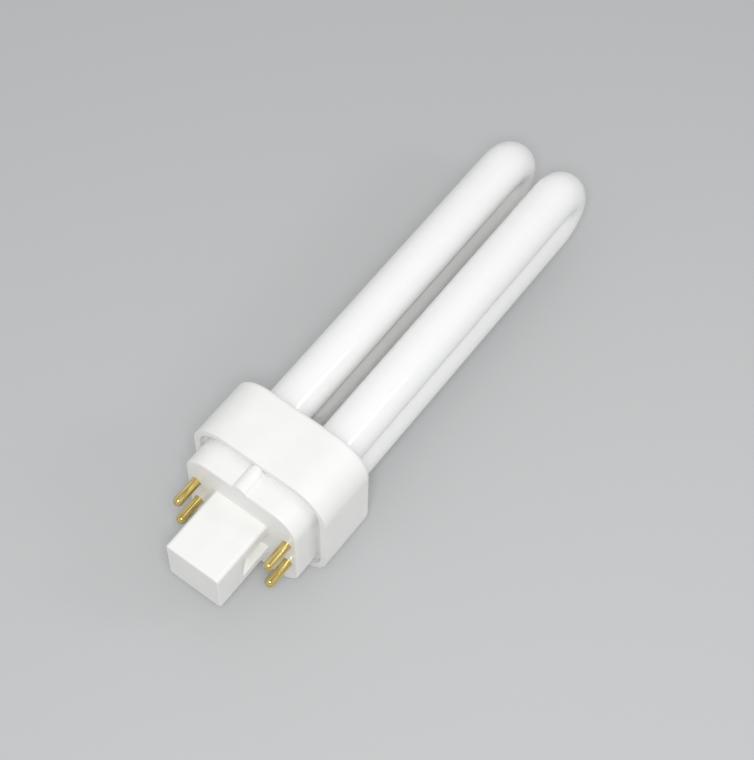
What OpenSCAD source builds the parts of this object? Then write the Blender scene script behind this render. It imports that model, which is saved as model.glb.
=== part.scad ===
// Plug-in fluorescent lamp: two U-shaped glass tubes stand side by side in a moulded housing, which a cap
// with a grip post and four contact pins closes.
// The lamp lies on the flat back of its housing. +X is the lamp's axis, towards the tube bends, +Z is its
// front, and the origin is the middle of the seating face that meets the lampholder.

/* [Tubes] */
// Outer diameter of the glass tube
tube_d = 10; // [9:0.1:10.1]
// Distance between the two U tubes, axis to axis
tube_pitch = 13.3; // [12.6:0.1:15]
// Distance between the two legs of one U tube, axis to axis
leg_pitch = 10.9; // [10.9:0.1:12]
// Reach of the bends beyond the seating face
reach = 107.8; // [60:0.2:170]
// Length of the legs below the housing's top
leg_depth = 9.5; // [8.5:0.1:10]
// Outer diameter of the bridge between the back legs
bridge_d = 6; // [4:0.1:7]
// Height of the bridge's axis above the ends of the legs
bridge_rise = 3.4; // [3:0.1:3.6]
// Length of the pinch seal under an electrode leg
pinch_l = 3; // [2:0.1:3.6]
// Width of the pinch seal
pinch_w = 6; // [5:0.1:7]
// Thickness of the pinch seal
pinch_t = 2.2; // [1.6:0.1:3]
// Diameter of the sealed exhaust tip under a bridged leg
tip_d = 2.6; // [2:0.1:3.4]
// Length of the sealed exhaust tip
tip_l = 2; // [1:0.1:3]

/* [Housing] */
// Width of the housing
housing_w = 32.8; // [31:0.1:36]
// Depth of the housing, front to back
housing_d = 31.6; // [30:0.1:36]
// Height of the housing
housing_h = 14.4; // [13:0.1:18]
// Radius of the housing's upright corners
corner_r = 8.2; // [6:0.1:9]
// Rounding of the housing's top edge
rim_round = 1; // [0.5:0.1:1.5]
// Wall of the housing
housing_wall = 1.4; // [1.2:0.1:1.8]
// Thickness of the deck that the tubes pass through
deck_t = 1.8; // [1.4:0.1:2.4]
// Room that the housing's foot leaves round the step
step_room = 0.8; // [0.4:0.1:0.9]
// Clearance round each tube in the deck
deck_gap = 0.2; // [0.1:0.05:0.3]
// Depth of the basing cement under the deck
cement_h = 2.6; // [1.6:0.1:3.2]

/* [Cap] */
// Width of the step below the housing
step_w = 27.5; // [26.4:0.1:29]
// Depth of the step, front to back
step_d = 26.8; // [24:0.1:27.6]
// Height of the step
step_h = 5.8; // [5:0.1:9]
// Radius of the step's upright corners
step_r = 6; // [4:0.1:7]
// Rounding of the step's lower edge
step_round = 0.5; // [0.2:0.1:0.8]
// Wall of the step
step_wall = 1.5; // [1.2:0.1:2]
// Thickness of the floor that carries the pins
floor_t = 2.4; // [1.6:0.1:2.8]
// Depth of the flange inside the housing's foot, which leaves a groove round the step
flange_set = 1; // [0.5:0.1:1.5]
// Thickness of the flange that closes the housing's foot
flange_t = 1.4; // [1:0.1:2]
// Height of the skirt inside the housing
skirt_h = 5; // [3:0.1:6]
// Wall of the skirt
skirt_wall = 1.2; // [1:0.1:1.6]
// Radius of the key rib on the front of the step
key_r = 1.9; // [1.4:0.1:2.4]
// Distance of the rib's axis behind the front of the step
key_set = 0.8; // [0.4:0.1:1]

/* [Post] */
// Width of the grip post
post_w = 13; // [12:0.1:15]
// Depth of the grip post, front to back
post_d = 12.2; // [10:0.1:14]
// Length of the grip post
post_l = 15; // [12:0.1:22]
// Radius of the post's long edges
post_r = 0.9; // [0.5:0.1:1.4]
// Rounding of the post's end
post_round = 0.4; // [0.2:0.1:0.4]
// Wall of the post
post_wall = 1.3; // [1:0.1:1.5]
// Width of the retention notch in each narrow side
notch_w = 6.6; // [4:0.1:7.6]
// Depth of the retention notch
notch_t = 3; // [1.6:0.1:3.2]
// Length of the notch's floor
notch_l = 3; // [1:0.1:5]
// Length of the ramp at the notch's end
ramp_l = 5; // [2:0.1:6.8]

/* [Pins] */
// Diameter of a contact pin
pin_d = 2.1; // [1.9:0.05:2.3]
// Length of a pin below the seating face
pin_l = 6.6; // [5:0.1:8]
// Diameter of the circle through the four pins
pin_circle = 24; // [23.4:0.1:24.3]
// Distance between the two pins of a pair
pin_pair = 8; // [7.4:0.1:8.6]
// Diameter of the pin's shank in the floor
shank_d = 1.7; // [1.5:0.05:1.8]
// Diameter of the head that is upset over the floor to hold the pin
head_d = 2.6; // [2.2:0.05:2.9]
// Thickness of the upset head
head_t = 0.6; // [0.4:0.1:0.8]
// Diameter of the tail that the lead is soldered to
tail_d = 1.4; // [1:0.1:1.8]
// Length of the tail
tail_l = 1; // [0.8:0.1:1.2]
// Diameter of a lead wire
lead_d = 0.5; // [0.3:0.05:0.7]
// Distance between the two leads in a pinch seal
lead_pitch = 2.6; // [2:0.1:3.4]

/* [Hidden] */
// Clearance between pieces that are pressed or cemented together
fit_gap = 0.05;
// Clearance between the cap and the housing that it closes
seam_gap = 0.06;
// Overrun of a cut past the face that it opens
over = 1;
tube_r = tube_d / 2;
bend_r = leg_pitch / 2;
bend_z = reach - bend_r - tube_r;
rim_z = step_h + housing_h;
flange_z = step_h + flange_set;
deck_z = rim_z - deck_t;
leg_z = rim_z - leg_depth;
pinch_z = leg_z - pinch_l;
bridge_z = leg_z + bridge_rise;
inner_w = housing_w - 2 * housing_wall;
inner_d = housing_d - 2 * housing_wall;
inner_r = corner_r - housing_wall;
spigot_w = inner_w - 2 * seam_gap;
spigot_d = inner_d - 2 * seam_gap;
spigot_r = inner_r - seam_gap;
pin_x = sqrt(pow(pin_circle / 2, 2) - pow(pin_pair / 2, 2));
tail_z = floor_t + head_t + tail_l;
// Clearance of the cut round a pin's head
well_gap = 0.1;
// Depth of the recess that a pin's shoulder sits in
seat_t = 0.08;
// Steps of a lead's curve and sides of a lead
lead_steps = 10;
lead_sides = 8;
// Where a lead's curve turns, as shares of the drop from the seal to the pin
turn_shares = [0.3, 0.35];
$fn = 64;
both_sides = [-1, 1];

// Lays the standing lamp on its back: its axis becomes +X and its front +Z
module lay_down() {
    rotate([-90, 0, 0])
        rotate([0, 90, 0])
            children();
}

// Rectangle with round corners, centred
module rounded_rect(w, d, r) {
    square([w - 2 * r, d], center = true);
    square([w, d - 2 * r], center = true);
    for (x = both_sides, y = both_sides)
        translate([x * (w / 2 - r), y * (d / 2 - r)])
            circle(r = r);
}

// Straight prism on a rounded rectangle
module rounded_prism(w, d, r, h) {
    linear_extrude(h)
        rounded_rect(w, d, r);
}

// Glass leg that hangs from the origin and ends in a dome
module leg(h) {
    rotate_extrude() {
        intersection() {
            translate([0, tube_r - h])
                circle(r = tube_r);
            translate([0, -h])
                square(tube_r);
        }
        translate([0, tube_r - h])
            square([tube_r, h - tube_r]);
    }
}

// One U: two legs and the half ring that joins them
module u_tube() {
    translate([0, 0, bend_z]) {
        for (y = both_sides)
            translate([0, y * bend_r, 0])
                leg(bend_z - leg_z);
        rotate([90, 0, 90])
            rotate_extrude(angle = 180)
                translate([bend_r, 0])
                    circle(r = tube_r);
    }
}

// Flattened end of an electrode leg, where the leads pass through the glass
module pinch_seal() {
    translate([0, 0, pinch_z])
        linear_extrude(pinch_l + tube_r) {
            square([pinch_w - pinch_t, pinch_t], center = true);
            for (x = both_sides)
                translate([x * (pinch_w - pinch_t) / 2, 0])
                    circle(d = pinch_t);
        }
}

// The sealed glass vessel: both U tubes, their bridge, pinch seals and exhaust tips
module glass_tubes() {
    color("white")
        lay_down() {
            for (x = both_sides)
                translate([x * tube_pitch / 2, 0, 0]) {
                    u_tube();
                    translate([0, -bend_r, 0])
                        pinch_seal();
                    translate([0, bend_r, leg_z - tip_l])
                        cylinder(d = tip_d, h = tip_l + tube_r);
                }
            translate([-tube_pitch / 2, bend_r, bridge_z])
                rotate([0, 90, 0])
                    cylinder(d = bridge_d, h = tube_pitch);
        }
}

// Section of a moulded block across one direction, its upper edges round
module soft_section(w, h, edge_r) {
    translate([-w / 2, 0])
        square([w, h - edge_r]);
    translate([edge_r - w / 2, 0])
        square([w - 2 * edge_r, h]);
    for (x = both_sides)
        translate([x * (w / 2 - edge_r), h - edge_r])
            circle(r = edge_r);
}

// Moulded block: a prism on a rounded rectangle, with its upper edge round all the way
module soft_prism(w, d, r, h, edge_r) {
    rotate([90, 0, 0])
        linear_extrude(d - 2 * r, center = true)
            soft_section(w, h, edge_r);
    rotate([90, 0, 90])
        linear_extrude(w - 2 * r, center = true)
            soft_section(d, h, edge_r);
    for (i = [0 : 3])
        rotate([0, 0, 90 * i])
            translate([(i % 2 == 0 ? w : d) / 2 - r, (i % 2 == 0 ? d : w) / 2 - r, 0])
                rotate_extrude(angle = 90)
                    intersection() {
                        soft_section(2 * r, h, edge_r);
                        square([r, h]);
                    }
}

// Places something on the axis of each of the four legs
module at_legs() {
    for (x = both_sides, y = both_sides)
        translate([x * tube_pitch / 2, y * bend_r, 0])
            children();
}

// Moulded housing: a cup upside down, with a hole in its deck for each leg
module housing() {
    color("ghostwhite")
        lay_down()
            difference() {
                translate([0, 0, step_h])
                    soft_prism(housing_w, housing_d, corner_r, housing_h, rim_round);
                translate([0, 0, step_h - over])
                    rounded_prism(inner_w, inner_d, inner_r, deck_z - step_h + over);
                translate([0, 0, step_h - over])
                    rounded_prism(
                        step_w + 2 * step_room, step_d + 2 * step_room, step_r + step_room,
                        flange_set + over
                    );
                at_legs()
                    translate([0, 0, deck_z - over])
                        cylinder(r = tube_r + deck_gap, h = deck_t + 2 * over);
            }
}

// Cement that holds the legs under the deck
module basing_cement() {
    color("lightgrey")
        lay_down()
            difference() {
                translate([0, 0, deck_z - cement_h])
                    rounded_prism(inner_w - 2 * fit_gap, inner_d - 2 * fit_gap, inner_r - fit_gap, cement_h);
                at_legs()
                    translate([0, 0, deck_z - cement_h - over])
                        cylinder(r = tube_r + fit_gap, h = cement_h + 2 * over);
                translate([-tube_pitch / 2, bend_r, bridge_z])
                    rotate([0, 90, 0])
                        cylinder(d = bridge_d + 2 * fit_gap, h = tube_pitch);
            }
}

// Recess in one narrow side of the post: deepest at the root, with a long ramp towards the end
module notch() {
    translate([post_w / 2, notch_w / 2, 0])
        rotate([90, 0, 0])
            linear_extrude(notch_w)
                polygon([
                    [-notch_t, 0], [over, 0], [over, -notch_l - ramp_l], [0, -notch_l - ramp_l],
                    [-notch_t, -notch_l]
                ]);
}

// Places something on the axis of each pin
module at_pins() {
    for (x = both_sides, y = both_sides)
        translate([x * pin_x, y * pin_pair / 2, 0])
            children();
}

// The hollow inside the cap and its post
module cap_hollow() {
    translate([0, 0, floor_t])
        rounded_prism(step_w - 2 * step_wall, step_d - 2 * step_wall, step_r - step_wall, flange_z + skirt_h);
    translate([0, 0, flange_z + flange_t])
        rounded_prism(spigot_w - 2 * skirt_wall, spigot_d - 2 * skirt_wall, spigot_r - skirt_wall, skirt_h);
    translate([0, 0, post_wall - post_l])
        linear_extrude(post_l - post_wall + floor_t + over)
            square([post_w - 2 * notch_t - 2 * post_wall, post_d - 2 * post_wall], center = true);
}

// Moulded cap: the step, the skirt that fits in the housing, the key rib and the hollow post
module cap() {
    color("ghostwhite")
        lay_down()
            difference() {
                union() {
                    translate([0, 0, flange_z])
                        mirror([0, 0, 1])
                            soft_prism(step_w, step_d, step_r, flange_z, step_round);
                    translate([0, 0, flange_z])
                        rounded_prism(spigot_w, spigot_d, spigot_r, skirt_h);
                    mirror([0, 0, 1])
                        soft_prism(post_w, post_d, post_r, post_l, post_round);
                    translate([0, key_set - step_d / 2, 0])
                        cylinder(r = key_r, h = step_h);
                }
                cap_hollow();
                notch();
                mirror([1, 0, 0])
                    notch();
                at_pins() {
                    translate([0, 0, -over])
                        cylinder(r = shank_d / 2 + fit_gap, h = floor_t + 2 * over);
                    translate([0, 0, -over])
                        cylinder(r = pin_d / 2 + fit_gap, h = over + seat_t);
                    translate([0, 0, floor_t])
                        cylinder(r = head_d / 2 + well_gap, h = flange_z + skirt_h);
                }
            }
}

// Contact pin: round end, shoulder on the seating face, shank, upset head and soldering tail
module pin(x, y) {
    color("gold")
        lay_down()
            translate([x * pin_x, y * pin_pair / 2, 0])
                rotate_extrude() {
                    intersection() {
                        translate([0, pin_d / 2 - pin_l])
                            circle(d = pin_d);
                        translate([0, -pin_l])
                            square(pin_d / 2);
                    }
                    translate([0, pin_d / 2 - pin_l])
                        square([pin_d / 2, pin_l - pin_d / 2 + seat_t]);
                    square([shank_d / 2, floor_t]);
                    translate([0, floor_t])
                        square([head_d / 2, head_t]);
                    translate([0, floor_t + head_t])
                        square([tail_d / 2, tail_l]);
                }
}

// Point of a curve with four control points, at share s of its way
function bezier(p, s) =
    pow(1 - s, 3) * p[0] + 3 * pow(1 - s, 2) * s * p[1] + 3 * (1 - s) * s * s * p[2] + pow(s, 3) * p[3];

// Tube swept along the curve, its rings level at both ends
module swept_lead(p) {
    steps = [for (i = [0 : lead_steps]) bezier(p, i / lead_steps)];
    rings = [
        for (c = steps, k = [0 : lead_sides - 1])
            c + lead_d / 2 * [cos(360 * k / lead_sides), sin(360 * k / lead_sides), 0]
    ];
    sides = [
        for (i = [0 : lead_steps - 1], k = [0 : lead_sides - 1])
            let (m = (k + 1) % lead_sides, a = i * lead_sides, b = a + lead_sides)
                [a + k, a + m, b + m, b + k]
    ];
    first = [for (k = [0 : lead_sides - 1]) lead_sides - 1 - k];
    last = [for (k = [0 : lead_sides - 1]) lead_steps * lead_sides + k];
    polyhedron(rings, concat(sides, [first, last]), convexity = 4);
}

// Lead from an electrode leg's pinch seal to the pin at side x and depth y
module lead(x, y) {
    drop = pinch_z - tail_z;
    start = [x * (tube_pitch / 2 - y * lead_pitch / 2), -bend_r, pinch_z];
    end = [x * pin_x, y * pin_pair / 2, tail_z];
    color("silver")
        lay_down()
            swept_lead([
                end, end + [0, 0, drop * turn_shares[1]], start - [0, 0, drop * turn_shares[0]], start
            ]);
}

module pin_left_front() { pin(-1, -1); }
module pin_left_back() { pin(-1, 1); }
module pin_right_front() { pin(1, -1); }
module pin_right_back() { pin(1, 1); }
module lead_left_front() { lead(-1, -1); }
module lead_left_back() { lead(-1, 1); }
module lead_right_front() { lead(1, -1); }
module lead_right_back() { lead(1, 1); }

glass_tubes();
housing();
cap();
basing_cement();
pin_left_front();
pin_left_back();
pin_right_front();
pin_right_back();
lead_left_front();
lead_left_back();
lead_right_front();
lead_right_back();
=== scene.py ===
from math import radians

import bpy
from mathutils import Euler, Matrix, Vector


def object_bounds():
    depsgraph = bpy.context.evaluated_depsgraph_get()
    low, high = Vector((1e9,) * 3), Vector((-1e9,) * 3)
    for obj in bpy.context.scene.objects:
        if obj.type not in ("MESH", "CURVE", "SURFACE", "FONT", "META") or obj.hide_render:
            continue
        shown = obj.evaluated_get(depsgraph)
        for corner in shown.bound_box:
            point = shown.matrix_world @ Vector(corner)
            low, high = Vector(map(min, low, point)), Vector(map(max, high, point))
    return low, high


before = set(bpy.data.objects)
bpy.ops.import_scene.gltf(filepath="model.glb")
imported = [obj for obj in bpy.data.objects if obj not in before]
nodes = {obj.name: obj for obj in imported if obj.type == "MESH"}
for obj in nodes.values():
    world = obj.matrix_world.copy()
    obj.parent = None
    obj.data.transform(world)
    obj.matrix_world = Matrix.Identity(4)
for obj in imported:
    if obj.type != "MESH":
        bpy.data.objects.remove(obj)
cad_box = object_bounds()

MM = 0.001

# The camera that fits the photograph's outline best: place and lens in mm, turn in degrees
camera_place = (-113.214, -111.995, 332.123)
camera_turn = (29.796, -0.918, -52.995)
camera_lens = 87.974
camera_sensor = 36
camera_near = 5

# Studio light: an even white room, a soft box by the camera and a small one that draws the long
# highlights on the pins and tubes. Places and sizes in mm, powers in watts.
room_level = 0.63
key_place = (-132, -126, 372)
key_aim = (45, 0, 0)
key_size = 90
key_power = 0.72
edge_place = (122, -197, 188)
edge_aim = (0, 0, 0)
edge_size = 60
edge_power = 0.05

# The floor, in mm, lies just under the flat back of the housing, which the frame holds level
floor_half = 1500
floor_gap = 0.02

# Most of a noise's values lie between these
noise_low = 0.3
noise_high = 0.7


def linear(hex_colour):
    """An sRGB hex colour as the linear values that a shader takes."""
    channels = [int(hex_colour[i:i + 2], 16) / 255 for i in (1, 3, 5)]
    return (*[c / 12.92 if c <= 0.04045 else ((c + 0.055) / 1.055) ** 2.4 for c in channels], 1.0)


def add(tree, kind, **inputs):
    """Adds one node; inputs are values or links by socket name, with _ for a space."""
    node = tree.nodes.new(kind)
    for key, value in inputs.items():
        socket = node.inputs[key.replace("_", " ")]
        if isinstance(value, bpy.types.NodeSocket):
            tree.links.new(value, socket)
        else:
            socket.default_value = value
    return node


def new_material(name):
    """A material and its node tree, still empty."""
    material = bpy.data.materials.new(name)
    material.use_nodes = True
    material.node_tree.nodes.clear()
    return material, material.node_tree


def shade(tree, **inputs):
    """Ends a node tree with its Principled shader, which takes the inputs, and the output."""
    shader = add(tree, "ShaderNodeBsdfPrincipled", **inputs)
    add(tree, "ShaderNodeOutputMaterial", Surface=shader.outputs["BSDF"])


def grains(tree, size_mm, detail=2.0, stretch=1.0):
    """Noise with grains of a real size on Object coordinates, which are metres here. They are drawn
    out along X, the lamp's axis, by the stretch."""
    place = add(tree, "ShaderNodeTexCoord").outputs["Object"]
    place = add(tree, "ShaderNodeMapping", Vector=place, Scale=(1 / stretch, 1, 1)).outputs["Vector"]
    noise = add(tree, "ShaderNodeTexNoise", Vector=place, Scale=1 / (size_mm * MM), Detail=detail)
    return noise.outputs["Fac"]


def mottled(tree, noise, dark, light, low=noise_low, high=noise_high):
    """A colour that wanders from a dark tone to a near light one as the noise goes from low to high."""
    ramp = add(tree, "ShaderNodeValToRGB", Fac=noise)
    for stop, position, tone in zip(ramp.color_ramp.elements, (low, high), (dark, light)):
        stop.position = position
        stop.color = linear(tone)
    return ramp.outputs["Color"]


def uneven(tree, noise, least, most):
    """A roughness that wanders from least to most with the noise."""
    number = add(tree, "ShaderNodeMapRange", Value=noise, From_Min=noise_low, From_Max=noise_high,
                 To_Min=least, To_Max=most)
    return number.outputs["Result"]


def phosphor_coated_glass():
    """Drawn soda-lime tube with phosphor powder baked on its inner wall. The powder is the whitest
    thing on the lamp and lets light through, so shaded sides stay bright. It drained along the tube
    before it was baked, which leaves faint long streaks. The clear glass over it is fire-polished:
    a sharp gloss with a slow wave."""
    material, tree = new_material("phosphor_coated_glass")
    streaks = grains(tree, size_mm=2.2, stretch=14.0)
    wave = add(tree, "ShaderNodeBump", Height=grains(tree, size_mm=12.0, detail=1.0, stretch=2.0),
               Distance=0.04 * MM)
    shade(tree, Base_Color=mottled(tree, streaks, "#FAFAF8", "#FDFDFB"), Roughness=0.55, IOR=1.5,
          Subsurface_Weight=1.0, Subsurface_Radius=(1.0, 1.0, 1.0), Subsurface_Scale=6.0 * MM,
          Coat_Weight=1.0, Coat_Roughness=0.06, Coat_IOR=1.5, Coat_Normal=wave.outputs["Normal"])
    return material


def moulded_thermoplastic():
    """Glass-filled PBT, injection moulded in a spark-eroded tool: dead white with a fine satin
    grain, too fine to show at its real 0.05 mm and so drawn at 0.35 mm. The melt's flow leaves
    patches that are a little duller or whiter."""
    material, tree = new_material("moulded_white_pbt")
    flow = grains(tree, size_mm=6.0)
    satin = add(tree, "ShaderNodeBump", Height=grains(tree, size_mm=0.35), Distance=0.012 * MM)
    shade(tree, Base_Color=mottled(tree, flow, "#F0F0EE", "#F4F4F2"), IOR=1.53,
          Roughness=uneven(tree, flow, 0.38, 0.46), Normal=satin.outputs["Normal"])
    return material


def drawn_brass():
    """Half-hard brass wire, cut and rounded: pale gold and bright, with the die's fine lines along
    the pin, drawn at 0.35 mm, which is coarser than they are."""
    material, tree = new_material("drawn_brass")
    lines = grains(tree, size_mm=0.35, stretch=16.0)
    shade(tree, Base_Color=mottled(tree, lines, "#B99A46", "#FDEBA4"), Metallic=1.0,
          Roughness=uneven(tree, lines, 0.1, 0.22))
    return material


def basing_cement():
    """Baked basing cement: matt, buff and slightly sandy."""
    material, tree = new_material("baked_basing_cement")
    sand = grains(tree, size_mm=0.5, detail=4.0)
    relief = add(tree, "ShaderNodeBump", Height=sand, Distance=0.05 * MM)
    shade(tree, Base_Color=mottled(tree, sand, "#B9B1A2", "#CFC8BA", low=0.35, high=0.65),
          Roughness=0.9, Normal=relief.outputs["Normal"])
    return material


def tinned_wire():
    """Tinned copper wire: grey-white metal with a slightly uneven dip."""
    material, tree = new_material("tinned_copper_wire")
    dip = grains(tree, size_mm=0.8, detail=3.0)
    shade(tree, Base_Color=mottled(tree, dip, "#B5B6B4", "#CBCCCA"), Metallic=1.0,
          Roughness=uneven(tree, dip, 0.25, 0.4))
    return material


def studio_paper():
    """Matt studio paper, plain and pale."""
    material, tree = new_material("studio_paper")
    shade(tree, Base_Color=linear("#C4C5C6"), Roughness=0.9, Specular_IOR_Level=0.2)
    return material


def dress(material, *names):
    """Gives CAD nodes their finish, with smooth shading kept from the CAD."""
    for name in names:
        for slot in nodes[name].material_slots:
            slot.material = material


def add_camera():
    data = bpy.data.cameras.new("camera")
    data.lens = camera_lens
    data.sensor_width = camera_sensor
    data.clip_start = camera_near * MM
    camera = bpy.data.objects.new("camera", data)
    camera.location = Vector(camera_place) * MM
    camera.rotation_euler = Euler([radians(angle) for angle in camera_turn])
    bpy.context.scene.collection.objects.link(camera)
    bpy.context.scene.camera = camera


def add_soft_box(name, place, aim, size, power):
    """A square lamp at a place, turned to what it aims at."""
    data = bpy.data.lights.new(name, "AREA")
    data.shape = "SQUARE"
    data.size = size * MM
    data.energy = power
    lamp = bpy.data.objects.new(name, data)
    lamp.location = Vector(place) * MM
    lamp.rotation_euler = (Vector(aim) * MM - lamp.location).to_track_quat("-Z", "Y").to_euler()
    bpy.context.scene.collection.objects.link(lamp)


def add_floor():
    half = floor_half * MM
    height = cad_box[0][2] - floor_gap * MM
    square = [(-half, -half, height), (half, -half, height), (half, half, height), (-half, half, height)]
    mesh = bpy.data.meshes.new("floor")
    mesh.from_pydata(square, [], [(0, 1, 2, 3)])
    mesh.materials.append(studio_paper())
    floor = bpy.data.objects.new("floor", mesh)
    bpy.context.scene.collection.objects.link(floor)


def add_white_room():
    world = bpy.data.worlds.new("studio")
    world.use_nodes = True
    background = world.node_tree.nodes["Background"]
    background.inputs["Color"].default_value = (1, 1, 1, 1)
    background.inputs["Strength"].default_value = room_level
    bpy.context.scene.world = world


corners = [f"{side}_{depth}" for side in ("left", "right") for depth in ("front", "back")]
dress(phosphor_coated_glass(), "glass_tubes")
dress(moulded_thermoplastic(), "housing", "cap")
dress(basing_cement(), "basing_cement")
dress(drawn_brass(), *[f"pin_{corner}" for corner in corners])
dress(tinned_wire(), *[f"lead_{corner}" for corner in corners])

add_camera()
add_floor()
add_white_room()
add_soft_box("key", key_place, key_aim, key_size, key_power)
add_soft_box("edge", edge_place, edge_aim, edge_size, edge_power)

bpy.context.scene.view_settings.view_transform = "Standard"
